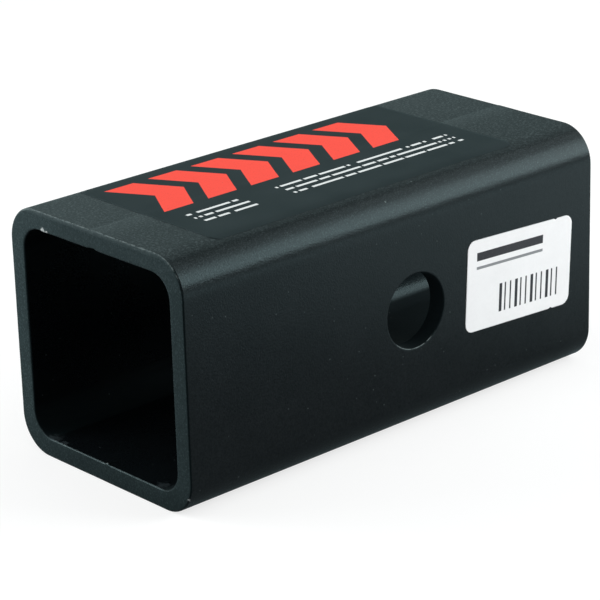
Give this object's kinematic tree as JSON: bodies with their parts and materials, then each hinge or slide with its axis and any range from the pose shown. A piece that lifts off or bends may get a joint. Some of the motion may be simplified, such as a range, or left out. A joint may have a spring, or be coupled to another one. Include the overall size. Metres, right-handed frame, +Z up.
{
  "type": "hitch reducer sleeve",
  "caption": "Square steel sleeve that adapts a wide hitch receiver to a narrower shank, with a cross-drilled pin hole, a printed vinyl top decal and a paper side label.",
  "frame": {"origin": "middle of the tube's bottom face, which it lies on", "axes": "+X along the tube to its far end, +Z up through the wall that carries the decal, -Y out of the side wall that carries the paper label"},
  "size_m": [0.1366, 0.064, 0.064],
  "materials": {
    "powder_coated_steel": "fine-textured satin black powder coat",
    "black_vinyl": "smooth satin black vinyl with coral and white print",
    "white_paper": "coated white label paper with black and grey print"
  },
  "bodies": {
    "root": {"sleeve_tube": "powder_coated_steel", "top_decal": "black_vinyl", "side_label": "white_paper"}
  },
  "joints": []
}
